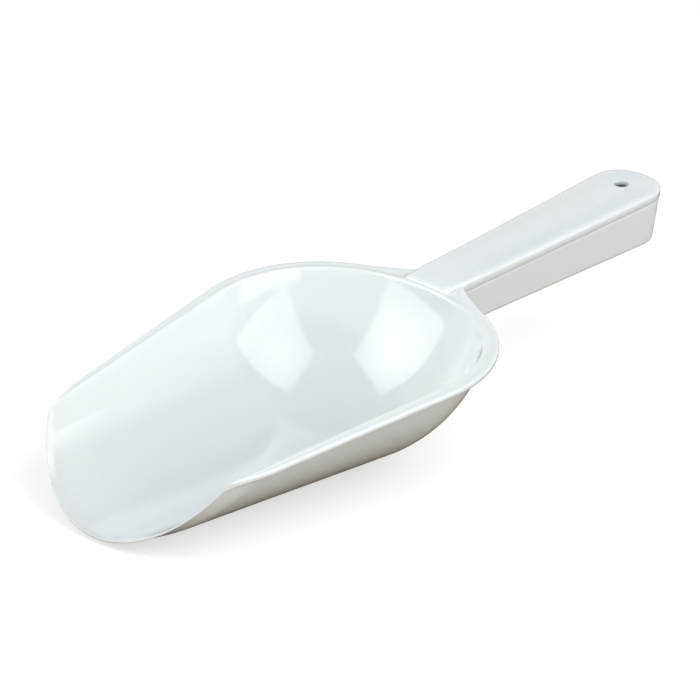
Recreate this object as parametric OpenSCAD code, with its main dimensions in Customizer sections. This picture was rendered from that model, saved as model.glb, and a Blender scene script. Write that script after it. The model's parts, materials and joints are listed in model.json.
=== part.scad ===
// Ice scoop: an open-nosed bowl with a rim flange and a hollow handle.
// The bowl, its flange and the handle's top plate are one moulding.
// A separate trough, the grip shell, closes the handle from below.
// The bowl's underside rests on z = 0, +X points along the handle, and
// the scoop is symmetric about y = 0.

/* [Overall] */
// Length from the nose tip to the end of the handle
length = 258; // [250:1:270]
// Tilt of the rim plane above level when the underside is level, in degrees
rim_tilt = 8; // [7:0.5:9]
// Tilt of the handle's top above level, in degrees
grip_tilt = 6; // [5:0.5:7]

/* [Bowl] */
// Length from the nose tip to the inside of the rear rim
bowl_length = 147; // [140:1:152]
// Inside width where the rounded rear begins
bowl_width = 95.2; // [88:0.4:100]
// Inside depth below the rim where the rounded rear begins
bowl_depth = 36.9; // [34:0.1:40]
// Length of the rounded rear
rear_length = 44.1; // [40:0.1:48]
// How much each side draws in per millimetre toward the nose
side_taper = 0.121; // [0.1:0.001:0.14]
// Wall thickness
wall = 1.8; // [1.5:0.1:2.2]

/* [Nose] */
// How far the nose tip stands ahead of the centre of its curve
nose_length = 27; // [22:0.5:30]
// Roundness of the nose curve: 1 is a half ellipse
nose_fullness = 0.95; // [0.85:0.005:0.96]
// Wall thickness at the nose edge
nose_edge = 0.8; // [0.6:0.1:1.2]
// Length over which the wall thins toward the nose edge
nose_bevel = 12; // [8:1:16]

/* [Rim flange] */
// Width of the flange outside the inner rim, where the rounded rear begins
flange_side = 4.9; // [4:0.1:6]
// Width of the flange near the nose
flange_front = 3; // [2.4:0.1:3.8]
// Width of the flange behind the rounded rear
flange_rear = 4.6; // [4:0.1:7]
// Flange thickness
flange_t = 2; // [1.5:0.1:2.5]
// Height of the fine bead where the bowl wall stands above the flange
bead = 0.15; // [0.1:0.05:0.4]

/* [Handle] */
// Width of the handle where it meets the bowl
grip_root_w = 18.4; // [16:0.2:20]
// Width of the handle near its end
grip_end_w = 25; // [23:0.5:27]
// Length of the rounded end
end_round = 12.2; // [10:0.1:14]
// Height of the handle's top above the rim where they meet
grip_step = 1.3; // [1:0.1:1.8]
// Full thickness of the top plate at its lip
lip_t = 3.7; // [3.4:0.1:4.2]
// Thickness of the top plate over the hollow
plate_t = 1.8; // [1.6:0.1:2.8]
// Rounding of the top plate's long edges
edge_round = 2.5; // [2:0.1:3]
// Depth of the handle at the bowl, from its top to its underside
grip_root_depth = 17; // [15:0.1:18]
// Added depth per millimetre toward the end
depth_slope = 0.0295; // [0.02:0.0005:0.035]
// Wall thickness of the grip shell
shell_wall = 2; // [1.6:0.1:2.2]
// Inset of the grip shell's wall behind the lip
shell_inset = 0.4; // [0.3:0.1:1.2]
// Extra inset at the shell's underside, from the moulding draft
shell_draft = 1.8; // [0.8:0.1:2]
// Rounding of the shell's lower edges
shell_round = 1.6; // [1.2:0.1:1.8]

/* [Hanging hole] */
// Diameter of the hanging hole in the top plate
hole_d = 5; // [4:0.5:6]
// Distance from the hole's axis to the end of the handle
hole_from_end = 12.3; // [11.5:0.1:14]
// Diameter of the larger opening below it in the grip shell
lower_hole_d = 8; // [7.5:0.5:9]

/* [Joining pegs] */
// Diameter of each peg
peg_d = 3; // [2.6:0.2:3.2]
// Diameter of the boss around each peg's socket
boss_d = 6.4; // [6:0.2:7]
// Radial clearance of a peg in its socket
peg_gap = 0.1; // [0.08:0.01:0.15]
// Clearance along the seam between the shell and the other moulding
seam_gap = 0.1; // [0.05:0.05:0.2]

/* [Hidden] */

$fn = 64;
body_color = [0.92, 0.95, 0.97];
shell_color = [0.84, 0.86, 0.85];

// Mesh fineness of the bowl and of the handle's outline
front_steps = 12;
rear_steps = 12;
arc_steps = 24;
end_steps = 16;
neck_steps = 8;
root_steps = 8;
side_steps = 3;

// Bowl reference points along x
nose_x = -length / 2;
rear_x = nose_x + bowl_length;
turn_x = rear_x - rear_length;
nose_cx = nose_x + nose_length;
corner_x = nose_cx - nose_length * sqrt(1 - pow(nose_fullness, 2));
rim_slope = tan(rim_tilt);
turn_z = wall + bowl_depth;

// Handle reference values, in the handle's own frame: its origin is on the
// top plane above the rear rim, x runs toward the end, z is up
grip_length = (length / 2 - rear_x) / cos(grip_tilt);
end_cx = grip_length - end_round;
hole_x = grip_length - hole_from_end;
end_power = 2.4;
front_gap = 0.4;
front_round = 0.4;
recess_inset = shell_inset + shell_wall + 0.2;
recess_front = flange_rear + 2;
peg_places = [28, 70];
socket_bottom = -9;
socket_top = -3.2;
peg_end_gap = 0.4;
through = 60;

// The flange comes to a point over taper_length at the nose corner. At the
// rear it leaves the rounded rear at neck_turn and runs neck_length along the
// handle, neck_inset inside the lip
taper_length = 13;
neck_turn = 65;
neck_length = 9.5;
neck_inset = 1.2;

// A cap of the handle's solids is a fan around this point on the centre line
hub_x = 12;

// Half of the inside width at x, and height of the rim plane at x
function half_w(x) = bowl_width / 2 + side_taper * (x - turn_x);
function rim_z(x) = turn_z + rim_slope * (x - turn_x);

// Inside depth below the rim: the floor is level up to the rounded rear
function depth(x) =
    rim_z(x) - wall - rim_slope / (2 * rear_length) * pow(max(x - turn_x, 0), 2);

// Circular cross-section of unit half-width and rise r: 1 at the middle, 0 at
// the rim, with l the distance from the middle
function arc_r(r) = (1 + r * r) / (2 * r);
function arc_drop(l, r) =
    (sqrt(max(pow(arc_r(r), 2) - l * l, 0)) - arc_r(r) + r) / r;
function arc_place(drop, r) =
    sqrt(max(pow(arc_r(r), 2) - pow(drop * r + arc_r(r) - r, 2), 0));

// Point of the bowl surface at x and at side position t from -1 to 1,
// moved outward by off
function rear_part(x, off) = max(x - turn_x, 0) / (rear_length + off);
function bowl_point(x, t, off) =
    let (s = min(rear_part(x, off), 1),
         w = half_w(x) + off,
         d = depth(x) + off,
         l = sqrt(t * t * (1 - s * s) + s * s))
    [x, t * w * sqrt(1 - s * s), rim_z(x) - d * arc_drop(l, d / w)];

function nose_line(t) =
    nose_cx - nose_length * sqrt(1 - pow(t * nose_fullness, 2));
function side_place(j) = sin(75 * (2 * j / arc_steps - 1)) / sin(75);
function thinned(run) = nose_edge + (wall - nose_edge) * min(1, run / nose_bevel);

// One point of the bowl grid; side is 0 inside and 1 outside
function grid_point(side, i, j) =
    let (t = side_place(j),
         u = min(i / front_steps, 1),
         x_front = nose_line(t) + u * (turn_x - nose_line(t)),
         off = side * thinned(x_front - nose_line(t)),
         turn = 90 * max(i - front_steps, 0) / rear_steps,
         x = i <= front_steps ? x_front : turn_x + (rear_length + off) * sin(turn))
    bowl_point(x, t, off);

steps = front_steps + rear_steps;
row = arc_steps + 1;
skin = steps * row + 1;
function grid_id(side, i, j) = side * skin + (i < steps ? i * row + j : steps * row);

// Two triangles for a quad, without the one that closes to nothing
function quad(a, b, c, d) = concat(b == c ? [] : [[a, b, c]],
                                   c == d ? [] : [[a, c, d]]);

function skin_faces(side) = [
    for (i = [0:steps - 1], j = [0:arc_steps - 1])
        let (a = grid_id(side, i, j), b = grid_id(side, i, j + 1),
             c = grid_id(side, i + 1, j + 1), d = grid_id(side, i + 1, j))
        each side == 0 ? quad(a, b, c, d) : quad(c, b, a, d) ];

// The bowl's wall, open at the nose and along the rim
module bowl_wall() {
    points = concat(
        [for (side = [0, 1]) each concat(
            [for (i = [0:steps - 1], j = [0:arc_steps]) grid_point(side, i, j)],
            [grid_point(side, steps, 0)])]);
    far_rim = [for (i = [0:steps - 1]) each quad(
        grid_id(0, i, arc_steps), grid_id(1, i, arc_steps),
        grid_id(1, i + 1, arc_steps), grid_id(0, i + 1, arc_steps))];
    near_rim = [for (i = [0:steps - 1]) each quad(
        grid_id(1, i, 0), grid_id(0, i, 0), grid_id(0, i + 1, 0), grid_id(1, i + 1, 0))];
    nose = [for (j = [0:arc_steps - 1]) each quad(
        grid_id(0, 0, j + 1), grid_id(0, 0, j), grid_id(1, 0, j), grid_id(1, 0, j + 1))];
    polyhedron(points, concat(skin_faces(0), skin_faces(1), far_rim, near_rim, nose));
}

// Rim outline on the far side, from the nose corner to the rear, moved
// outward by side at the sides and by rear behind the bowl
function rim_sweep(side, rear, last) = [
    for (i = [0:rear_steps])
        let (turn = last * i / rear_steps, x = turn_x + (rear_length + rear) * sin(turn))
        [x, (half_w(x) + side) * cos(turn)] ];

// Quadratic curve through a and c that heads for b
function curve(a, b, c, n) = [
    for (i = [0:n]) let (t = i / n) a * pow(1 - t, 2) + 2 * b * t * (1 - t) + c * t * t ];

// Flange outline on the far side: tapered front, side, rear, neck fillet
function flange_far() =
    let (front_x = corner_x + taper_length,
         corner = [corner_x, half_w(corner_x) + nose_edge / 2],
         front = [front_x, half_w(front_x) + flange_front],
         neck_y = grip_half_w(neck_length) - neck_inset,
         rear = rim_sweep(flange_side, flange_rear, neck_turn),
         a = rear[rear_steps],
         b = [a[0] + (a[1] - neck_y) / tan(neck_turn), neck_y],
         c = [rear_x + neck_length, neck_y])
    concat([corner, front], rear, curve(a, b, c, neck_steps));

function mirrored(points) = [
    for (i = [len(points) - 1:-1:0]) [points[i][0], -points[i][1]] ];

// Lays a plan outline out in the rim plane
function in_rim_plane(points) = [
    for (p = points) [(p[0] - turn_x) / cos(rim_tilt), p[1]] ];

module flange() {
    seat = nose_edge / 2;
    inner = concat([[corner_x, half_w(corner_x) + seat]], rim_sweep(seat, seat, 90));
    outer = flange_far();
    outline = concat([for (i = [1:len(outer) - 1]) outer[i]],
                     mirrored([for (i = [1:len(outer) - 1]) outer[i]]),
                     mirrored([for (i = [len(inner) - 2:-1:0]) inner[i]]),
                     [for (i = [len(inner) - 1:-1:0]) inner[i]]);
    translate([turn_x, 0, turn_z])
        rotate([0, -rim_tilt, 0])
            translate([0, 0, -bead - flange_t])
                linear_extrude(flange_t)
                    polygon(in_rim_plane(outline));
}

// Moves its children into the handle's frame
module in_grip_frame() {
    translate([rear_x, 0, rim_z(rear_x) + grip_step])
        rotate([0, -grip_tilt, 0])
            children();
}

function grip_half_w(x) =
    grip_root_w / 2 + (grip_end_w - grip_root_w) / 2 * min(x / end_cx, 1);

// Front edges of the handle's pieces in the handle's frame, at side position y
function rim_front(y) =
    front_gap - rear_length * (1 - sqrt(1 - pow(y / half_w(rear_x), 2)));

// Rear face of the bowl at side position y and height z
function bowl_back(y, z, x, n) =
    n == 0 ? x :
    let (w = half_w(x) + wall,
         d = depth(x) + wall,
         l = arc_place((rim_z(x) - z) / d, d / w),
         reach = sqrt(max(l * l - pow(y / w, 2), 0.01)))
    bowl_back(y, z, turn_x + (rear_length + wall) * reach, n - 1);
function shell_front(y, h, x, n) =
    n == 0 ? x :
    let (z = rim_z(rear_x) + grip_step + x * sin(grip_tilt) + h * cos(grip_tilt),
         place = rear_x + x * cos(grip_tilt) - h * sin(grip_tilt))
    shell_front(y, h, x + bowl_back(y, z, rear_x, 5) + seam_gap - place, n - 1);

// Closed ring around the handle. kind is "plate", "recess" or "shell"; h and
// slope give its height, which falls toward the end.
function ring_front(kind, y, h, ahead) =
    kind == "plate" ? rim_front(y) + ahead :
    kind == "recess" ? recess_front : shell_front(y, h, 0, 5) + ahead;
function end_point(turn, inset) =
    [end_cx + (end_round - inset) * pow(cos(turn), 2 / end_power),
     (grip_end_w / 2 - inset) * sign(turn) * pow(abs(sin(turn)), 2 / end_power)];
function ring(kind, h, slope, inset, ahead) =
    let (root_y = grip_half_w(0) - inset,
         front = [for (i = [0:root_steps]) let (y = root_y * (1 - 2 * i / root_steps))
                  [ring_front(kind, y, h, ahead), y]],
         start_x = max(front[0][0], 0),
         side = [for (i = [1:side_steps]) let (x = start_x + (end_cx - start_x) * i / (side_steps + 1))
                 [x, grip_half_w(x) - inset]],
         end = [for (i = [0:end_steps]) end_point(-90 + 180 * i / end_steps, inset)],
         plan = concat(front, [for (p = side) [p[0], -p[1]]], end,
                       [for (i = [side_steps - 1:-1:0]) side[i]]))
    [for (p = plan) [p[0], p[1], h - slope * p[0]]];

// Closed solid through a list of rings, from its lower cap to its upper cap.
// Each cap is a fan around a hub behind the front edge.
function hub(h, slope) = [hub_x, 0, h - slope * hub_x];
module ring_solid(rings, low_hub, high_hub) {
    n = len(rings[0]);
    m = len(rings);
    sides = [for (k = [0:m - 2], i = [0:n - 1]) each quad(
        k * n + i, (k + 1) * n + i, (k + 1) * n + (i + 1) % n, k * n + (i + 1) % n)];
    lower = [for (i = [0:n - 1]) [m * n, i, (i + 1) % n]];
    upper = [for (i = [0:n - 1]) [m * n + 1, (m - 1) * n + (i + 1) % n, (m - 1) * n + i]];
    points = concat([for (r = rings) each r], [low_hub, high_hub]);
    polyhedron(points, concat(lower, sides, upper));
}

// Top plate: hollow underneath, with a lip all round and rounded top edges
module top_plate() {
    rounding = [for (a = [0, 22.5, 45, 67.5, 90])
        ring("plate", -edge_round * (1 - sin(a)), 0, edge_round * (1 - cos(a)),
             front_round * edge_round * (1 - cos(a)))];
    ring_solid(concat(
        [ring("recess", -plate_t, 0, recess_inset, 0),
         ring("recess", -lip_t, 0, recess_inset, 0),
         ring("plate", -lip_t, 0, 0, 0)],
        rounding), hub(-plate_t, 0), hub(0, 0));
}

module socket_bosses() {
    for (x = peg_places)
        translate([x, 0, socket_bottom])
            cylinder(d = boss_d, h = -plate_t / 2 - socket_bottom);
}

module sockets() {
    for (x = peg_places)
        translate([x, 0, socket_bottom - 1])
            cylinder(d = peg_d + 2 * peg_gap, h = socket_top - socket_bottom + 1);
}

module hanging_hole(d) {
    translate([hole_x, 0, -through / 2])
        cylinder(d = d, h = through);
}

// Bowl, rim flange and the handle's top plate, moulded in one piece
module scoop_body() {
    color(body_color)
        difference() {
            union() {
                bowl_wall();
                flange();
                in_grip_frame() {
                    top_plate();
                    socket_bosses();
                }
            }
            in_grip_frame() {
                sockets();
                hanging_hole(hole_d);
            }
        }
}

// Trough with a floor; its rings run down the outside and back up inside
module trough() {
    foot = shell_inset + shell_draft;
    top = -lip_t - seam_gap;
    low = -grip_root_depth;
    s = depth_slope;
    ring_solid([
        ring("shell", low, s, foot + shell_round, shell_round),
        ring("shell", low + 0.3 * shell_round, s, foot + 0.3 * shell_round, 0.3 * shell_round),
        ring("shell", low + shell_round, s, foot, 0),
        ring("shell", top, 0, shell_inset, 0),
        ring("shell", top, 0, shell_inset + shell_wall, shell_wall),
        ring("shell", low + shell_wall, s, foot + shell_wall, shell_wall)],
        hub(low, s), hub(low + shell_wall, s));
}

module pegs() {
    for (x = peg_places) {
        floor_z = -grip_root_depth - depth_slope * x + shell_wall / 2;
        translate([x, 0, floor_z])
            cylinder(d = boss_d, h = socket_bottom - seam_gap - floor_z);
        translate([x, 0, floor_z])
            cylinder(d = peg_d, h = socket_top - peg_end_gap - floor_z);
    }
}

// Lower half of the handle, pegged into the top plate's bosses
module grip_shell() {
    color(shell_color)
        in_grip_frame()
            difference() {
                union() {
                    trough();
                    pegs();
                }
                hanging_hole(lower_hole_d);
            }
}

scoop_body();
grip_shell();
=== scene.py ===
"""Ice scoop: smooth moulded meshes, plastic materials, studio light and camera, all placed
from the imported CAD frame. Lengths below are in millimetres and become metres in the meshes."""
import json
import math

import bmesh
import bpy
from mathutils import Matrix, Vector

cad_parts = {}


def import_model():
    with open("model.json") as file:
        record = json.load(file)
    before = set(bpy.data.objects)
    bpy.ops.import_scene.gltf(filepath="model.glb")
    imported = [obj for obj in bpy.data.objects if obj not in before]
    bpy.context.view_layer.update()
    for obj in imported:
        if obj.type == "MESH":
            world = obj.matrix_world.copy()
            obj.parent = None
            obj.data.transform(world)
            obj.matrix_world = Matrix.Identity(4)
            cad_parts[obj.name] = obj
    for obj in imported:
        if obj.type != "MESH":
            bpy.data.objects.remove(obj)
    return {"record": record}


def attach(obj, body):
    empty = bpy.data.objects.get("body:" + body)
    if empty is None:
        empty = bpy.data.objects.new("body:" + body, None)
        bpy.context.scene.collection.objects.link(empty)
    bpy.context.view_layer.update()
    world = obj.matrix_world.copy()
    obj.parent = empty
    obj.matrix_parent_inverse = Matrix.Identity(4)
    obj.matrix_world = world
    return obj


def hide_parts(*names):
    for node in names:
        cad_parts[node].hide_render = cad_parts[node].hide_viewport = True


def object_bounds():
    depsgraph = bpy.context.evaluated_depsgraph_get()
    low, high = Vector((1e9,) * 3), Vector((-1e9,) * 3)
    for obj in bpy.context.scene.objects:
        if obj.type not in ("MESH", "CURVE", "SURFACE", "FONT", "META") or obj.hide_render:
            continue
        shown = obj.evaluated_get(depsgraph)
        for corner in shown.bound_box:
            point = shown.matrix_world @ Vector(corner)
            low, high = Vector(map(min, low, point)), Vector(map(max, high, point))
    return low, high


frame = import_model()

MM = 0.001
cad_low, cad_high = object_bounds()

# ---------------------------------------------------------------- design values
# Bowl
WALL = 1.8
BOWL_LENGTH = 147.0
BOWL_HALF = 47.6
REAR = 44.1
SIDE_TAPER = 0.121
RIM_SLOPE = math.tan(math.radians(8.0))

# Nose, and the fine step just inside its edge
NOSE_LENGTH = 27.0
NOSE_FULLNESS = 0.95
NOSE_EDGE = 0.8
NOSE_BEVEL = 12.0
NOSE_LINE = 2.2
NOSE_STEP = 0.3

# Rim flange with its bead
FLANGE_SIDE = 4.9
FLANGE_FRONT = 3.0
FLANGE_REAR = 4.6
FLANGE_T = 2.0
BEAD = 0.15
BEAD_FOOT = 1.2
CORNER_TAPER = 13.0
RIM_ROUND = 0.3

# Top plate of the handle
GRIP_STEP = 1.3
ROOT_HALF = 9.2
END_HALF = 12.5
END_ROUND = 12.2
END_POWER = 2.4
LIP_T = 3.7
EDGE_DROP = 1.6
EDGE_ROOT = 2.4
EDGE_END = 3.6
EDGE_POWER = 3.0
EDGE_START = 2.5
EDGE_GROWTH = (5, 70)
CROWN = 0.35
CROWN_GROWTH = (2, 30)
ARC_FADE = (0, 12)
RECESS_INSET = 2.6
RECESS_FRONT = 6.6

# Grip shell
ROOT_DEPTH = 17.0
DEPTH_SLOPE = 0.0295
SHELL_WALL = 2.0
SHELL_INSET = 0.4
SHELL_DRAFT = 1.8
SHELL_ROUND = 1.8
SEAM_GAP = 0.1
LOWER_HOLE_R = 4.0
LOWER_HOLE_STEPS = 48

# Neck, where the flange flows into the handle, and the grid of points; turns are in degrees
NECK_TURN = 65.0
NECK_SHARE = 0.3
LIP_START = 5.5
NECK_LENGTH = 9.5
SECTOR_TURN = 80.0
REAR_STEP = 2.5
ACROSS = 12

# ---------------------------------------------------------------- places from the frame
mount = next(m for m in frame["record"]["mounts"] if m["name"] == "hang_hole")
axis = Vector(mount["axis"]).normalized()
HOLE_R = mount["dims"]["r_mm"]
PLATE_T = mount["dims"]["length_mm"]
hole_top = Vector(mount["pos_m"]) / MM + axis * PLATE_T / 2

grip_tilt = math.atan2(-axis.x, axis.z)
COS_G, SIN_G = math.cos(grip_tilt), math.sin(grip_tilt)
nose_x = cad_low.x / MM
rear_x = nose_x + BOWL_LENGTH
turn_x = rear_x - REAR
hole_x = (hole_top.x - rear_x) / COS_G
grip_z = hole_top.z - hole_x * SIN_G
turn_z = grip_z - GRIP_STEP - REAR * RIM_SLOPE
nose_cx = nose_x + NOSE_LENGTH
end_x = (cad_high.x / MM - rear_x - LIP_T * SIN_G) / COS_G
end_cx = end_x - END_ROUND


def smooth(a, b, v):
    """0 up to a, 1 from b on, and a soft step between."""
    t = min(max((v - a) / (b - a), 0.0), 1.0)
    return t * t * (3 - 2 * t)


def mix(a, b, t):
    """a at 0, b at 1, and a straight line between."""
    return a + (b - a) * t


# ---------------------------------------------------------------- bowl surface
def half_w(x):
    """Half of the bowl's inside width at the rim."""
    return BOWL_HALF + SIDE_TAPER * (x - turn_x)


def rim_z(x):
    """Height of the sloping rim."""
    return turn_z + RIM_SLOPE * (x - turn_x)


def depth(x):
    """Inside depth below the rim: the floor is level up to the rounded rear."""
    lift = RIM_SLOPE / (2 * REAR) * max(x - turn_x, 0) ** 2
    return rim_z(x) - WALL - lift


def arc_drop(reach, rise):
    """Circular section of unit half-width: 1 at the middle, 0 at the rim."""
    r = (1 + rise * rise) / (2 * rise)
    return (math.sqrt(max(r * r - reach * reach, 0)) - r + rise) / rise


def arc_reach(drop, rise):
    """The reach at which arc_drop has the given value."""
    r = (1 + rise * rise) / (2 * rise)
    return math.sqrt(max(r * r - (drop * rise + r - rise) ** 2, 0))


def nose_line(t):
    """x of the nose edge at t, from -1 on the near rim to 1 on the far rim."""
    return nose_cx - NOSE_LENGTH * math.sqrt(1 - (t * NOSE_FULLNESS) ** 2)


def nose_skin(ahead, outer):
    """Offset of the wall's face, thinner at the nose edge, with a fine step inside it."""
    if outer:
        return mix(NOSE_EDGE, WALL, smooth(0, NOSE_BEVEL, ahead))
    return NOSE_STEP * (1 - smooth(0, NOSE_LINE, ahead))


class Column:
    """One section of the bowl from the rim to its keel. side is -1 on the near side and 1 on
    the far side; run goes from 0 at the nose edge to 1 where the rounded rear begins, and turn
    is the angle round the rear, 0 to 180 degrees."""

    def __init__(self, side=0, run=1.0, turn=None):
        self.side, self.run, self.turn = side, run, turn

    def point(self, reach, outer):
        """Point of the inner or outer face; reach is 1 at the rim and 0 at the keel."""
        if self.turn is None:
            t = self.side * reach
            x = mix(nose_line(t), turn_x, self.run)
            off = nose_skin(x - nose_line(t), outer)
            w, d = half_w(x) + off, depth(x) + off
            return Vector((x, t * w, rim_z(x) - d * arc_drop(reach, d / w)))
        off = WALL if outer else 0.0
        a = math.radians(self.turn)
        x = turn_x + (REAR + off) * math.sin(a) * reach
        w, d = half_w(x) + off, depth(x) + off
        return Vector((x, -math.cos(a) * w * reach, rim_z(x) - d * arc_drop(reach, d / w)))

    def reach_at(self, drop, outer):
        """How far out the surface is where it lies drop below the rim."""
        off = WALL if outer else 0.0
        x = self.point(1, outer).x
        w, d = half_w(x) + off, depth(x) + off
        return arc_reach(drop / d, d / w)


def side_turns():
    """Angles round the rear; the middle sector carries the handle."""
    turns = [REAR_STEP * i for i in range(1, int(SECTOR_TURN / REAR_STEP))]
    sector = (180 - 2 * SECTOR_TURN) / ACROSS
    middle = [SECTOR_TURN + sector * i for i in range(ACROSS + 1)]
    return turns + middle + [180 - t for t in reversed(turns)]


# Shares of the way from the nose edge to the rounded rear, close together at the nose.
RUNS = [0, 0.005, 0.01, 0.015, 0.02, 0.026, 0.04, 0.06] + [0.08 + 0.02 * i for i in range(47)]
near_front = [Column(side=-1, run=r) for r in RUNS]
rear = [Column(turn=t) for t in side_turns()]
far_front = [Column(side=1, run=r) for r in reversed(RUNS)]
columns = near_front + rear + far_front
first_sector = len(near_front) + side_turns().index(SECTOR_TURN)
last_sector = first_sector + ACROSS

ROWS = 34
ROW_SPREAD = 75.0
INNER_DROPS = [RIM_ROUND, 0.8, 1.8]
JUST_INSIDE, RIM_SHIFT = 0.98, 0.8
UNDER = BEAD + FLANGE_T
OUTER_DROPS = [UNDER + 0.45, UNDER + 0.9, UNDER + 1.8]


def section(column, outer):
    """Points of one column from just below the rim to the keel."""
    drops = OUTER_DROPS if outer else INNER_DROPS
    first = [column.reach_at(d, outer) for d in drops]
    full = math.sin(math.radians(ROW_SPREAD))
    shares = [math.sin(math.radians(ROW_SPREAD * (1 - i / ROWS))) / full
              for i in range(1, ROWS + 1)]
    return [column.point(r, outer) for r in first + [first[-1] * s for s in shares]]


def rim_point(column):
    """Top of the bead: the rim moved outward by the small rounding."""
    rim, inside = column.point(1, False), column.point(JUST_INSIDE, False)
    out = Vector((rim.x - inside.x, rim.y - inside.y, 0))
    p = rim + out.normalized() * RIM_ROUND * RIM_SHIFT
    p.z = rim_z(p.x)
    return p


# ---------------------------------------------------------------- outline of flange and lip
def curve(a, b, c, t):
    """Quadratic curve from a to c that is drawn toward b."""
    return a * (1 - t) ** 2 + b * 2 * t * (1 - t) + c * t * t


def grip_half(x):
    """Half width of the handle's top, before its rounded end."""
    return mix(ROOT_HALF, END_HALF, min(x / end_cx, 1))


def grip_plan(x, y):
    """Plan position of a point of the handle's top."""
    return Vector((rear_x + x * COS_G, y, 0))


def rear_outline(turn):
    """Outer edge of the flange round the bowl's rear."""
    a = math.radians(turn)
    x = turn_x + (REAR + FLANGE_REAR) * math.sin(a)
    return Vector((x, -(half_w(x) + FLANGE_SIDE) * math.cos(a), 0))


def neck_outline(t):
    """Concave corner between the flange, at 0, and the handle's long edge, at 1."""
    a = rear_outline(NECK_TURN)
    c = grip_plan(NECK_LENGTH, -grip_half(NECK_LENGTH))
    b = Vector((a.x + (c.y - a.y) / math.tan(math.radians(NECK_TURN)), c.y, 0))
    return curve(a, b, c, t)


def flange_outline(column):
    """Outer edge of the flange beside a column, worked out on the near side."""
    if column.turn is None:
        rim = column.point(1, False)
        run = rim.x - nose_line(1)
        if run < CORNER_TAPER:
            width = mix(NOSE_EDGE / 2, FLANGE_FRONT, max(run, 0) / CORNER_TAPER)
        else:
            straight = turn_x - nose_line(1) - CORNER_TAPER
            width = mix(FLANGE_FRONT, FLANGE_SIDE, (run - CORNER_TAPER) / straight)
        return Vector((rim.x, column.side * (half_w(rim.x) + width), 0))
    turn = min(column.turn, 180 - column.turn)
    if turn <= NECK_TURN:
        p = rear_outline(turn)
    else:
        p = neck_outline(NECK_SHARE * (turn - NECK_TURN) / (SECTOR_TURN - NECK_TURN))
    return p if column.turn < 90 else Vector((p.x, -p.y, 0))


# ---------------------------------------------------------------- handle stations
class Station:
    """One row across the handle at x in the handle's own frame; phi is the angle round its end,
    in degrees."""

    def __init__(self, x, phi=0.0):
        self.x, self.phi = x, phi

    def at_inset(self, inset):
        """(x, half width) of the outline moved inward."""
        if self.x < end_cx:
            return self.x, grip_half(self.x) - inset
        c = math.cos(math.radians(self.phi))
        s = math.sin(math.radians(self.phi))
        if c < 1e-6:
            return end_cx + END_ROUND - inset, 0.0
        return (end_cx + (END_ROUND - inset) * s ** (2 / END_POWER),
                (END_HALF - inset) * c ** (2 / END_POWER))

    def edge_width(self):
        """Width of the rounded long edge: none at the bowl, wider toward the end."""
        start = math.sqrt(min(self.x / EDGE_START, 1.0))
        return start * mix(EDGE_ROOT, EDGE_END, smooth(*EDGE_GROWTH, self.x))

    def outline(self):
        """Outer edge on the near side, in plan."""
        if self.x < NECK_LENGTH:
            return neck_outline(mix(NECK_SHARE, 1, self.x / NECK_LENGTH))
        x, y = self.at_inset(0)
        return grip_plan(x, -y)


# Rows across the handle, in its own frame: close together at the bowl, then even. Round the
# hole they are one cell apart, so that a square block of cells can hold it.
HOLE_CELL = 1.3
BLOCK_HALF = 4
GRIP_ROWS = 14
end_a = END_ROUND - EDGE_END
hole_steps = [HOLE_CELL * i for i in range(1, BLOCK_HALF + 1)]
phis = [math.degrees(math.asin((d / end_a) ** (END_POWER / 2))) for d in hole_steps]
phis += [45, 54, 63, 71, 78, 84, 90]
xs = [0, 0.5, 1.0, 1.15, 1.4, 1.8, 2.3, 2.9, 3.6, 4.5, 5.4, 6.2, RECESS_FRONT,
      RECESS_FRONT + 0.4, 7.8, 8.6, NECK_LENGTH]
block_x = end_cx - BLOCK_HALF * HOLE_CELL
xs += [mix(NECK_LENGTH, block_x, i / GRIP_ROWS) for i in range(1, GRIP_ROWS + 1)]
xs += [end_cx - i * HOLE_CELL for i in range(BLOCK_HALF - 1, 0, -1)]
stations = [Station(x) for x in xs] + [Station(end_cx, 0)] + [Station(end_cx, p) for p in phis]
hole_row = len(xs)

PLATE_START = 1.0
PLATE_RISE = 2.2
UNDER_TAPER = (0, 7)
UNDER_JOIN = 3.0
UNDER_FRONT = (2.0, 2.9)


def top_z(x):
    """Height of the handle's top plane above plan position x."""
    return grip_z + (x - rear_x) * SIN_G / COS_G


def rim_arc(y):
    """How far the rounded rear of the rim falls back from rear_x at y."""
    return -REAR * (1 - math.sqrt(1 - (y / half_w(rear_x)) ** 2))


def top_row(k):
    """Points across the handle's top, near side first."""
    st = stations[k]
    if k == 0:
        return [rim_point(c) for c in columns[first_sector:last_sector + 1]]
    x, half = st.at_inset(st.edge_width())
    wide = grip_half(st.x) - st.edge_width()
    past = (max(x - end_cx, 0) / end_a) ** END_POWER
    row = []
    for j in range(ACROSS + 1):
        share = 2 * j / ACROSS - 1
        y = share * half
        p = grip_plan(x + rim_arc(y) * (1 - smooth(*ARC_FADE, x)), y)
        crown = CROWN * min((abs(y) / wide) ** END_POWER + past, 1) * smooth(*CROWN_GROWTH, x)
        high = top_z(p.x) - crown
        climb = min(max(x - PLATE_START, 0) / PLATE_RISE, 1)
        rise = math.sqrt(1 - (1 - climb) ** 2)
        p.z = mix(rim_z(p.x), high, rise)
        row.append(p)
    return row


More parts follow.
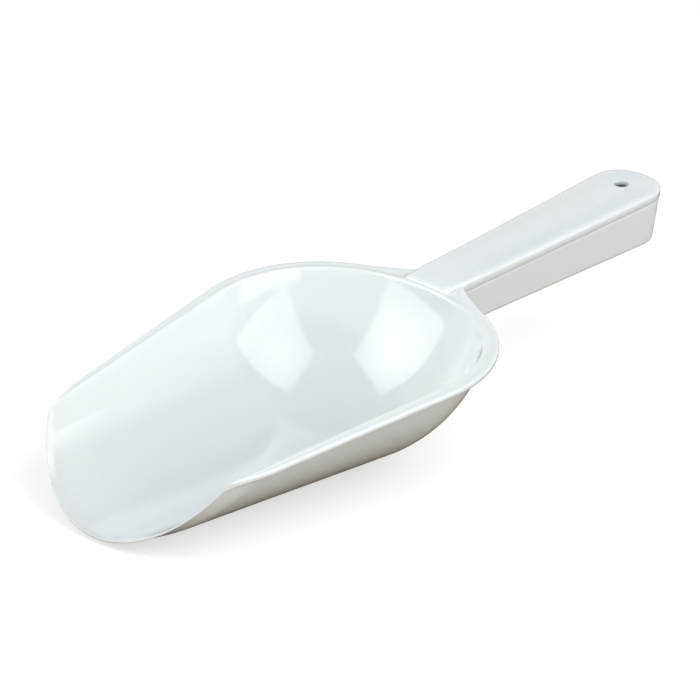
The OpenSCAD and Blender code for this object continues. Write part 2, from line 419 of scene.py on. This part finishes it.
def under_row(k):
    """Points across the underside of the top plate, with the recess of the hollow handle."""
    st = stations[k]
    if k == 0:
        return [section(c, True)[0] for c in columns[first_sector:last_sector + 1]]
    x, half = st.at_inset(RECESS_INSET)
    half = mix(ROOT_HALF, half, smooth(*UNDER_TAPER, st.x))
    ahead = x if x >= UNDER_JOIN else mix(*UNDER_FRONT, x / UNDER_JOIN)
    drop = LIP_T if st.x <= RECESS_FRONT else PLATE_T
    row = []
    for j in range(ACROSS + 1):
        y = (2 * j / ACROSS - 1) * half
        p = grip_plan(ahead + rim_arc(y) * (1 - smooth(*ARC_FADE, x)), y)
        p.z = top_z(p.x) - drop / COS_G
        row.append(p)
    return row


def mirror(p):
    """The same point on the other side of the scoop."""
    return Vector((p.x, -p.y, p.z))


# ---------------------------------------------------------------- band from inner line to edge
BEAD_STEPS = 5
FULL_EDGE_WIDTH = 2.4
FLANGE_EDGE = ((0.9, 0), (0.4, 0.08), (0.1, 0.35), (0, 0.75), (0, 1.4), (0.1, 1.75), (0.45, 2.0))
LIP_STEPS = 10
LIP_FOOT = ((0, 0.4), (0.08, 0.12), (0.35, 0))
FLANGE_UNDERSIDE = ((0.9, 0), (0.25, 0.15))
SHELL_CLEARANCE = 0.1
LEAST_FOOT = 0.6 * BEAD_FOOT
BAND_POINTS = BEAD_STEPS + 1 + len(FLANGE_EDGE)


def flange_profile(i, inner, width, foot, scale):
    """Point i across the flange as (distance out, height): the bead, the flat top and the
    rounded outer edge, whose (inset, drop) pairs are in FLANGE_EDGE."""
    flange_top = rim_z(inner.x) - BEAD
    if i < BEAD_STEPS:
        turn = math.radians(22.5 * i)
        return (foot * scale * math.sin(turn),
                inner.z - (inner.z - flange_top) * (1 - math.cos(turn)))
    if i == BEAD_STEPS:
        return (foot * scale + width - FLANGE_EDGE[0][0] * scale) / 2, flange_top
    inset, drop = FLANGE_EDGE[i - BEAD_STEPS - 1]
    return width - inset * scale, flange_top - drop


def lip_profile(i, inner, width):
    """Point i across the handle's long edge: a rounded shoulder, then the lip's lower corner,
    whose (inset, height above the lip's foot) pairs are in LIP_FOOT."""
    if i < LIP_STEPS:
        turn = math.radians(10 * i)
        fall = 1 - max(math.cos(turn), 0) ** (2 / EDGE_POWER)
        return width * math.sin(turn) ** (2 / EDGE_POWER), inner.z - EDGE_DROP * fall
    inset, above = LIP_FOOT[i - LIP_STEPS]
    return width - inset, top_z(inner.x) - (LIP_T - above)


def band(inner, outline, lower, foot, lip, shell):
    """Profile from a point of the top's inner line, over the rounded edge and back below to a
    point of the lower line. foot is where the top's rounding lands, lip goes from 0 on the flange
    to 1 on the handle, and shell says that the grip shell stands under it."""
    across = Vector((outline.x - inner.x, outline.y - inner.y, 0))
    width = across.length
    out = across.normalized()
    scale = min(1.0, width / FULL_EDGE_WIDTH)
    slope = mix(RIM_SLOPE, SIN_G / COS_G, lip)
    points = []
    for i in range(BAND_POINTS):
        q, z = flange_profile(i, inner, width, foot, scale)
        if lip > 0:
            lip_q, lip_z = lip_profile(i, inner, width)
            q, z = mix(q, lip_q, lip), mix(z, lip_z, lip)
        p = inner + out * q
        p.z = z + slope * (p.x - inner.x)
        points.append(p)
    return points + underside(outline, lower, scale, width, shell)


def underside(outline, lower, scale, width, shell):
    """Points of a band's lower face, from its outer edge in to the lower line."""
    back = Vector((outline.x - lower.x, outline.y - lower.y, 0)).normalized()
    points = []
    if shell:
        for q in (RECESS_INSET - SHELL_INSET + SHELL_CLEARANCE, SHELL_CLEARANCE / 2):
            p = lower + back * min(q * scale, width)
            p.z = top_z(p.x) - LIP_T / COS_G
            points.append(p)
    else:
        for q, sag in FLANGE_UNDERSIDE:
            p = lower + back * min(q * scale, width)
            p.z = rim_z(p.x) - UNDER - sag
            points.append(p)
    points.append(lower)
    return points


def flange_bands(cols):
    """Bands of the flange beside the given columns of the bowl."""
    return [band(rim_point(c), flange_outline(c), section(c, True)[0], BEAD_FOOT, 0, False)
            for c in cols]


def handle_bands(side):
    """Bands along one long edge of the handle, from the bowl to the tip of the end."""
    result = []
    for k in range(1, len(stations)):
        st, top, under = stations[k], top_row(k), under_row(k)
        edge = 0 if side < 0 else ACROSS
        outline = st.outline()
        if side > 0:
            outline = mirror(outline)
        foot = max(LEAST_FOOT, st.edge_width())
        lip = smooth(LIP_START, NECK_LENGTH, st.x)
        result.append(band(top[edge], outline, under[edge], foot, lip, True))
    return result


# ---------------------------------------------------------------- mesh building
class Shape:
    """Collects grids of points in millimetres and turns them into one merged mesh object."""

    def __init__(self):
        self.points, self.faces = [], []

    def add(self, p):
        """Adds a point and gives its number."""
        self.points.append(Vector(p) * MM)
        return len(self.points) - 1

    def grid(self, rows, skip=lambda i, j: False, loop=False):
        """Adds rows of points joined by four-sided faces; loop closes each row."""
        ids = [[self.add(p) for p in row] for row in rows]
        for i in range(len(ids) - 1):
            n = len(ids[i])
            for j in range(n if loop else n - 1):
                if not skip(i, j):
                    k = (j + 1) % n
                    self.faces.append((ids[i][j], ids[i][k], ids[i + 1][k], ids[i + 1][j]))
        return ids

    def cap(self, points):
        """Adds one face."""
        self.faces.append(tuple(self.add(p) for p in points))

    def lathe(self, origin, profile, segments=40):
        """Round solid about the handle's normal at origin; profile is (radius, height). One that
        starts on the axis is a solid pin, and any other is a tube."""
        rings = []
        ends_on_axis = profile[0][0] == 0
        for r, h in profile if ends_on_axis else profile + profile[:1]:
            ring = []
            for s in range(segments):
                a = 2 * math.pi * s / segments
                ring.append(grip_point(origin + r * math.cos(a), r * math.sin(a), h))
            rings.append(ring)
        self.grid(rings, loop=True)

    def build(self, name):
        """Merges the points where grids meet, and makes the object."""
        mesh = bpy.data.meshes.new(name)
        mesh.from_pydata(self.points, [], self.faces)
        bm = bmesh.new()
        bm.from_mesh(mesh)
        bmesh.ops.remove_doubles(bm, verts=bm.verts, dist=2e-6)
        bmesh.ops.dissolve_degenerate(bm, edges=bm.edges, dist=1e-7)
        bmesh.ops.recalc_face_normals(bm, faces=bm.faces)
        open_edges = sum(1 for e in bm.edges if len(e.link_faces) != 2)
        print(f"{name}: {len(bm.faces)} faces, {open_edges} open edges")
        for f in bm.faces:
            f.smooth = True
        bm.to_mesh(mesh)
        bm.free()
        obj = bpy.data.objects.new(name, mesh)
        bpy.context.scene.collection.objects.link(obj)
        return obj


def grip_point(x, y, h):
    """Point of the handle's own frame in the part frame."""
    return Vector((rear_x + x * COS_G - h * SIN_G, y, grip_z + x * SIN_G + h * COS_G))


# (extra radius, height) down the wall of the hanging hole, with its rounded ends
HOLE_WALL = ((0.16, 0), (0.08, -0.03), (0.02, -0.09), (0, -0.2),
             (0, -PLATE_T + 0.25), (0.07, -PLATE_T + 0.08), (0.25, -PLATE_T))


def block_loop(rows, half):
    """The square loop of grid points that surrounds the hanging hole."""
    r0, r1 = hole_row - half, hole_row + half
    j0, j1 = ACROSS // 2 - half, ACROSS // 2 + half
    loop = [rows[r][j0] for r in range(r0, r1)]
    loop += [rows[r1][j] for j in range(j0, j1)]
    loop += [rows[r][j1] for r in range(r1, r0, -1)]
    loop += [rows[r0][j] for j in range(j1, j0, -1)]
    return loop


def hole_ring(loop, radius, height):
    """A circle round the hole's axis with one point for each point of the square loop."""
    ring = []
    for p in loop:
        a = math.atan2(p.y, p.x - hole_top.x)
        ring.append(grip_point(hole_x + radius * math.cos(a), radius * math.sin(a), height))
    return ring


def hanging_hole(shape, top, under):
    """Rounded hole between the top of the plate and its underside."""
    upper, lower = block_loop(top, BLOCK_HALF), block_loop(under, BLOCK_HALF)
    rim = hole_ring(upper, HOLE_R + HOLE_WALL[0][0], 0)
    foot = hole_ring(lower, HOLE_R + HOLE_WALL[-1][0], -PLATE_T)
    rows = [[mix(a, b, t) for a, b in zip(upper, rim)] for t in (0, 0.35, 0.7)]
    for radius, height in HOLE_WALL:
        rows.append(hole_ring(upper, HOLE_R + radius, height))
    rows += [[mix(a, b, t) for a, b in zip(foot, lower)] for t in (0.3, 0.65, 1)]
    shape.grid(rows, loop=True)


def nose_strip(inner, outer):
    """Rounded edge that joins the two faces of the wall at the nose."""
    middle = []
    for a, b in zip(inner, outer):
        m = (a + b) / 2
        m.x -= 0.3 * (a - b).length
        middle.append(m)
    return [inner, middle, outer]


SOCKET_BOTTOM, SOCKET_TOP = -9.0, -3.2
PEG_PLACES = (28, 70)
PEG_R, BOSS_R, PEG_GAP = 1.5, 3.2, 0.1
BOSS_SUNK = 0.3
PEG_END_GAP = 0.4


def scoop_body():
    """Bowl, rim flange and the handle's top plate, moulded in one piece."""
    shape = Shape()
    inner = [[rim_point(c)] + section(c, False) for c in columns]
    outer = [section(c, True) for c in columns]
    shape.grid(inner)
    shape.grid(outer)
    strips = [nose_strip(inner[end][1:], outer[end]) for end in (0, -1)]
    for strip in strips:
        shape.grid(strip)
    near = flange_bands(columns[:first_sector + 1]) + handle_bands(-1)
    far = flange_bands(list(reversed(columns[last_sector:]))) + handle_bands(1)
    for bands, strip in zip((near, far), strips):
        shape.grid(bands)
        shape.cap([strip[0][0]] + bands[0] + [strip[1][0]])
    top = [top_row(k) for k in range(len(stations))]
    under = [under_row(k) for k in range(len(stations))]

    def in_block(i, j):
        """Whether a cell belongs to the square block round the hanging hole."""
        return abs(i + 0.5 - hole_row) < BLOCK_HALF and abs(j + 0.5 - ACROSS / 2) < BLOCK_HALF
    shape.grid(top, skip=in_block)
    shape.grid(under, skip=in_block)
    hanging_hole(shape, top, under)
    bore, root = PEG_R + PEG_GAP, -PLATE_T + BOSS_SUNK
    for x in PEG_PLACES:
        shape.lathe(x, [(bore, SOCKET_BOTTOM), (BOSS_R, SOCKET_BOTTOM), (BOSS_R, root),
                        (bore, root)])
    return shape.build("scoop_body_moulding")


# ---------------------------------------------------------------- grip shell
SOLVER_STEPS = 8
FRONT_STEPS, SIDE_STEPS, END_STEPS = 12, 24, 14
FOOT_STEPS, WALL_STEPS = 6, 8
SHELL_FOOT = SHELL_INSET + SHELL_DRAFT
SHELL_LOW, SHELL_TOP = -ROOT_DEPTH, -LIP_T - SEAM_GAP
# (distance in, drop) over the top edge, and (distance in, height, distance ahead) at the floor
SHELL_EDGE = ((0, 0.3), (0.2, 0), (SHELL_WALL - 0.2, 0), (SHELL_WALL, 0.3))
SHELL_FILLET = ((-0.2, 1.2, 0), (0, 0.5, 0.2), (0.6, 0, 0.6))


def bowl_back(y, z):
    """x of the bowl's outer wall at the rear for a side position and height."""
    x = rear_x
    for _ in range(SOLVER_STEPS):
        w, d = half_w(x) + WALL, depth(x) + WALL
        reach = arc_reach((rim_z(x) - z) / d, d / w)
        x = turn_x + (REAR + WALL) * math.sqrt(max(reach ** 2 - (y / w) ** 2, 0.01))
    return x


def seat(y, h):
    """x in the handle's frame where the shell meets the bowl."""
    x = 0.0
    for _ in range(SOLVER_STEPS):
        p = grip_point(x, y, h)
        x += bowl_back(y, p.z) + SEAM_GAP - p.x
    return x


def shell_ring(inset, height, slope, ahead):
    """Closed loop round the shell, at a height that falls by slope toward the end."""
    half = grip_half(0) - inset
    ring = []
    for i in range(FRONT_STEPS + 1):
        y = half * (1 - 2 * i / FRONT_STEPS)
        x = seat(y, height) + ahead
        ring.append((x, y))
    start = max(ring[0][0], 0)
    side = [Station(mix(start, end_cx, i / SIDE_STEPS)).at_inset(inset)
            for i in range(1, SIDE_STEPS)]
    end = [Station(end_cx, 90 * i / END_STEPS).at_inset(inset) for i in range(END_STEPS + 1)]
    ring += [(x, -y) for x, y in side]
    ring += [(x, -y) for x, y in end]
    ring += [(x, y) for x, y in reversed(end[:-1])]
    ring += [(x, y) for x, y in reversed(side)]
    return [grip_point(x, y, height - slope * x) for x, y in ring]


def floor_face(shape, ring, height, slope):
    """Flat floor between the shell's ring and the lower hole."""
    hole = []
    for i in range(LOWER_HOLE_STEPS):
        a = 2 * math.pi * i / LOWER_HOLE_STEPS
        x, y = hole_x + LOWER_HOLE_R * math.cos(a), LOWER_HOLE_R * math.sin(a)
        hole.append(grip_point(x, y, height - slope * x))
    bm = bmesh.new()
    for loop in (ring, hole):
        vs = [bm.verts.new(p) for p in loop]
        for i, v in enumerate(vs):
            bm.edges.new((v, vs[(i + 1) % len(vs)]))
    bmesh.ops.triangle_fill(bm, use_beauty=True, use_dissolve=False, edges=bm.edges)
    bm.verts.index_update()
    ids = [shape.add(v.co) for v in bm.verts]
    for f in bm.faces:
        shape.faces.append(tuple(ids[v.index] for v in f.verts))
    bm.free()
    return hole


def shell_outside():
    """Rings up the outside: the rounded foot, then the drafted wall."""
    rings = []
    for i in range(FOOT_STEPS + 1):
        a = math.radians(90 / FOOT_STEPS * i)
        inward, up = SHELL_ROUND * (1 - math.sin(a)), SHELL_ROUND * (1 - math.cos(a))
        rings.append(shell_ring(SHELL_FOOT + inward, SHELL_LOW + up, DEPTH_SLOPE, inward))
    for i in range(1, WALL_STEPS):
        t = i / WALL_STEPS
        rings.append(shell_ring(mix(SHELL_FOOT, SHELL_INSET, t),
                                mix(SHELL_LOW + SHELL_ROUND, SHELL_TOP, t),
                                mix(DEPTH_SLOPE, 0, t), 0))
    return rings


def shell_inside():
    """Rings over the eased top edge and down the inside to the fillet at the floor."""
    rings = [shell_ring(SHELL_INSET + q, SHELL_TOP - drop, 0, q) for q, drop in SHELL_EDGE]
    for q, up, ahead in SHELL_FILLET:
        rings.append(shell_ring(SHELL_FOOT + SHELL_WALL + q, SHELL_LOW + SHELL_WALL + up,
                                DEPTH_SLOPE, SHELL_WALL + ahead))
    return rings


def grip_shell():
    """Trough that closes the hollow handle from below, with its pegs."""
    shape = Shape()
    rings = shell_outside() + shell_inside()
    shape.grid(rings, loop=True)
    lower = floor_face(shape, rings[0], SHELL_LOW, DEPTH_SLOPE)
    upper = floor_face(shape, rings[-1], SHELL_LOW + SHELL_WALL, DEPTH_SLOPE)
    shape.grid([lower, upper], loop=True)
    for x in PEG_PLACES:
        floor_z = -ROOT_DEPTH - DEPTH_SLOPE * x + SHELL_WALL / 2
        shoulder, tip = SOCKET_BOTTOM - SEAM_GAP, SOCKET_TOP - PEG_END_GAP
        shape.lathe(x, [(0, floor_z), (BOSS_R, floor_z), (BOSS_R, shoulder), (PEG_R, shoulder),
                        (PEG_R, tip), (0, tip)])
    return shape.build("grip_shell_moulding")


# ---------------------------------------------------------------- materials
CLOUD_SCALE, GLOSS_SCALE, PEEL_SCALE, GRAIN_SCALE = 22, 140, 260, 2400
PEEL_DEPTH, GRAIN_DEPTH, GRAIN_SHARE = 0.0002, 0.00004, 0.6
PLASTIC_IOR = 1.49
SCATTER_WEIGHT, SCATTER_DEPTH = 0.5, 0.005
SCATTER_TINT = (1.0, 0.95, 0.88)
COAT_ROUGHNESS = 0.07


def noise(tree, scale, detail):
    """Noise in the piece's own coordinates."""
    coords = tree.nodes.new("ShaderNodeTexCoord")
    texture = tree.nodes.new("ShaderNodeTexNoise")
    texture.inputs["Scale"].default_value = scale
    texture.inputs["Detail"].default_value = detail
    tree.links.new(coords.outputs["Object"], texture.inputs["Vector"])
    return texture.outputs["Fac"]


def spread(tree, source, low, high):
    """A 0 to 1 value spread from low to high."""
    scaled = tree.nodes.new("ShaderNodeMapRange")
    scaled.inputs["To Min"].default_value = low
    scaled.inputs["To Max"].default_value = high
    tree.links.new(source, scaled.inputs["Value"])
    return scaled.outputs["Result"]


def bump_node(tree, pattern, strength, metres):
    """Bump node for a height pattern that is so many metres deep."""
    node = tree.nodes.new("ShaderNodeBump")
    node.inputs["Strength"].default_value = strength
    node.inputs["Distance"].default_value = metres
    tree.links.new(pattern, node.inputs["Height"])
    return node


def plastic(name, color, warm, rough, bump, coat):
    """White moulded plastic: faint cloudiness, slight orange peel and uneven gloss."""
    mat = bpy.data.materials.new(name)
    mat.use_nodes = True
    tree = mat.node_tree
    shader = tree.nodes["Principled BSDF"]

    tint = tree.nodes.new("ShaderNodeMix")
    tint.data_type = "RGBA"
    tint.inputs["A"].default_value = (*color, 1)
    tint.inputs["B"].default_value = (*warm, 1)
    tree.links.new(spread(tree, noise(tree, CLOUD_SCALE, 3), 0.0, 1.0), tint.inputs["Factor"])
    tree.links.new(tint.outputs["Result"], shader.inputs["Base Color"])

    gloss = spread(tree, noise(tree, GLOSS_SCALE, 4), rough - 0.04, rough + 0.05)
    tree.links.new(gloss, shader.inputs["Roughness"])
    peel = bump_node(tree, noise(tree, PEEL_SCALE, 2), bump, PEEL_DEPTH)
    grain = bump_node(tree, noise(tree, GRAIN_SCALE, 2), bump * GRAIN_SHARE, GRAIN_DEPTH)
    tree.links.new(peel.outputs["Normal"], grain.inputs["Normal"])
    tree.links.new(grain.outputs["Normal"], shader.inputs["Normal"])

    shader.inputs["IOR"].default_value = PLASTIC_IOR
    shader.inputs["Subsurface Weight"].default_value = SCATTER_WEIGHT
    shader.inputs["Subsurface Radius"].default_value = SCATTER_TINT
    shader.inputs["Subsurface Scale"].default_value = SCATTER_DEPTH
    shader.inputs["Coat Weight"].default_value = coat
    shader.inputs["Coat Roughness"].default_value = COAT_ROUGHNESS
    return mat


body = scoop_body()
shell = grip_shell()
body.data.materials.append(
    plastic("body_plastic", color=(0.745, 0.795, 0.815), warm=(0.76, 0.805, 0.82),
            rough=0.12, bump=0.05, coat=0.8))
# The shell's base colour is lighter than the body's: painted light, standing in for the brighter
# light that falls on the handle's lower wall.
shell.data.materials.append(
    plastic("shell_plastic", color=(0.82, 0.87, 0.885), warm=(0.83, 0.875, 0.885),
            rough=0.32, bump=0.12, coat=0.1))
for piece, node, slot in ((body, "scoop_body", "body_plastic"),
                          (shell, "grip_shell", "shell_plastic")):
    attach(piece, "root")
    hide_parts(node)

# ---------------------------------------------------------------- stage, light and camera
FLOOR_HALF = 3.0
FLOOR_GAP = 0.0005
LOOK_AT = Vector((0, 0.01, 0.025))


def only_for_camera(nodes, links, seen, unseen):
    """A colour that the camera sees, and another that lights the object's underside."""
    path = nodes.new("ShaderNodeLightPath")
    pick = nodes.new("ShaderNodeMix")
    pick.data_type = "RGBA"
    pick.inputs["A"].default_value = (*unseen, 1)
    pick.inputs["B"].default_value = (*seen, 1)
    links.new(path.outputs["Is Camera Ray"], pick.inputs["Factor"])
    return pick.outputs["Result"]


def floor():
    """A wide pale floor just under the object."""
    half, z = FLOOR_HALF, cad_low.z - FLOOR_GAP
    mesh = bpy.data.meshes.new("floor")
    mesh.from_pydata([(-half, -half, z), (half, -half, z), (half, half, z), (-half, half, z)], [],
                     [(0, 1, 2, 3)])
    obj = bpy.data.objects.new("floor", mesh)
    bpy.context.scene.collection.objects.link(obj)
    mat = bpy.data.materials.new("pale_floor")
    mat.use_nodes = True
    nodes, links = mat.node_tree.nodes, mat.node_tree.links
    shader = nodes["Principled BSDF"]
    shader.inputs["Roughness"].default_value = 0.9
    shader.inputs["Specular IOR Level"].default_value = 0.1
    links.new(only_for_camera(nodes, links, (0.5, 0.5, 0.5), (0.27, 0.22, 0.165)),
              shader.inputs["Base Color"])
    links.new(only_for_camera(nodes, links, (0.6, 0.6, 0.6), (0, 0, 0)),
              shader.inputs["Emission Color"])
    shader.inputs["Emission Strength"].default_value = 1.0
    mesh.materials.append(mat)


def direction(azimuth, elevation):
    """Unit vector; azimuth is counted from +X towards +Y, in degrees."""
    az, el = math.radians(azimuth), math.radians(elevation)
    return Vector((math.cos(el) * math.cos(az), math.cos(el) * math.sin(az), math.sin(el)))


PANEL_MIDDLE, PANEL_CORNER = 1.12, 0.5
PANEL_REACH = 0.7


def feather(light):
    """Makes a panel brightest in its middle, as a lamp behind cloth is. The distance from the
    middle is in shares of the panel's sides."""
    light.use_nodes = True
    nodes, links = light.node_tree.nodes, light.node_tree.links
    panel = nodes.new("ShaderNodeNewGeometry")
    reach = nodes.new("ShaderNodeVectorMath")
    reach.operation = "DISTANCE"
    reach.inputs[1].default_value = (0.5, 0.5, 0)
    links.new(panel.outputs["Parametric"], reach.inputs[0])
    fall = nodes.new("ShaderNodeMapRange")
    fall.interpolation_type = "SMOOTHSTEP"
    fall.inputs["From Max"].default_value = PANEL_REACH
    fall.inputs["To Min"].default_value = PANEL_MIDDLE
    fall.inputs["To Max"].default_value = PANEL_CORNER
    links.new(reach.outputs["Value"], fall.inputs["Value"])
    links.new(fall.outputs["Result"], nodes["Emission"].inputs["Strength"])


def softbox(name, place, facing, size, roll, radiance, color, feathered):
    """Rectangular softbox. place is (azimuth, elevation, distance) as seen from the bowl, and
    facing is the (azimuth, elevation) from which its panel is seen square on."""
    light = bpy.data.lights.new(name, "AREA")
    light.shape = "RECTANGLE"
    light.size, light.size_y = size
    light.energy = radiance * math.pi * size[0] * size[1]
    light.color = color
    if feathered:
        feather(light)
    obj = bpy.data.objects.new(name, light)
    front = (-direction(*facing)).to_track_quat("-Z", "Y").to_matrix().to_4x4()
    spot = LOOK_AT + direction(*place[:2]) * place[2]
    rolled = front @ Matrix.Rotation(math.radians(roll), 4, "Z")
    obj.matrix_world = Matrix.Translation(spot) @ rolled
    obj.visible_camera = False
    bpy.context.scene.collection.objects.link(obj)


EDGE_BLEND = 0.02


def world(low, high, edge):
    """Studio walls: one tone up to the given height on the unit sphere, another above it."""
    w = bpy.data.worlds.new("studio")
    w.use_nodes = True
    nodes, links = w.node_tree.nodes, w.node_tree.links
    coords = nodes.new("ShaderNodeTexCoord")
    split = nodes.new("ShaderNodeSeparateXYZ")
    links.new(coords.outputs["Generated"], split.inputs["Vector"])
    step = nodes.new("ShaderNodeMapRange")
    step.inputs["From Min"].default_value = edge - EDGE_BLEND
    step.inputs["From Max"].default_value = edge + EDGE_BLEND
    links.new(split.outputs["Z"], step.inputs["Value"])
    tone = nodes.new("ShaderNodeMix")
    tone.data_type = "RGBA"
    tone.inputs["A"].default_value = (*low, 1)
    tone.inputs["B"].default_value = (*high, 1)
    links.new(step.outputs["Result"], tone.inputs["Factor"])
    links.new(tone.outputs["Result"], nodes["Background"].inputs["Color"])
    bpy.context.scene.world = w


LENS_MM = 257.14
SENSOR_MM = 36
CAMERA_HEADING = 47.835
CAMERA_DROP = 27.428
CAMERA_PLACE = Vector((-1072.5, -939.6, 715.8))


def camera():
    """The camera was placed in a frame where the handle's top is level, so it turns with it.
    Its place is counted from the middle of the handle's root."""
    data = bpy.data.cameras.new("camera")
    data.lens = LENS_MM
    data.sensor_width = SENSOR_MM
    data.clip_end = 20
    obj = bpy.data.objects.new("camera", data)
    heading, drop = math.radians(CAMERA_HEADING), math.radians(CAMERA_DROP)
    ahead = Vector((math.sin(heading) * math.cos(drop), math.cos(heading) * math.cos(drop),
                    -math.sin(drop)))
    up = Vector((math.sin(heading) * math.sin(drop), math.cos(heading) * math.sin(drop),
                 math.cos(drop)))
    right = ahead.cross(up)
    turn = Matrix.Rotation(-grip_tilt, 3, "Y")
    place = turn @ CAMERA_PLACE + Vector((rear_x, 0, grip_z))
    rot = Matrix((turn @ right, turn @ up, turn @ -ahead)).transposed()
    obj.matrix_world = Matrix.Translation(place * MM) @ rot.to_4x4()
    bpy.context.scene.collection.objects.link(obj)
    bpy.context.scene.camera = obj


floor()
world(low=(0.73, 0.73, 0.73), high=(0.33, 0.335, 0.34), edge=0.56)
softbox("key_box", place=(-86, 60, 0.79), facing=(-86, 20), size=(0.90, 0.90), roll=12,
        radiance=2.55, color=(0.985, 1.0, 1.0), feathered=True)
softbox("side_box", place=(143.6, 30, 0.75), facing=(143, 10), size=(0.58, 0.64), roll=0,
        radiance=2.97, color=(0.97, 1.0, 1.0), feathered=True)
softbox("fill_box", place=(-95, 6, 0.90), facing=(-95, 6), size=(1.25, 0.34), roll=0,
        radiance=1.65, color=(1.0, 0.995, 0.985), feathered=False)
camera()
bpy.context.scene.view_settings.view_transform = "Standard"
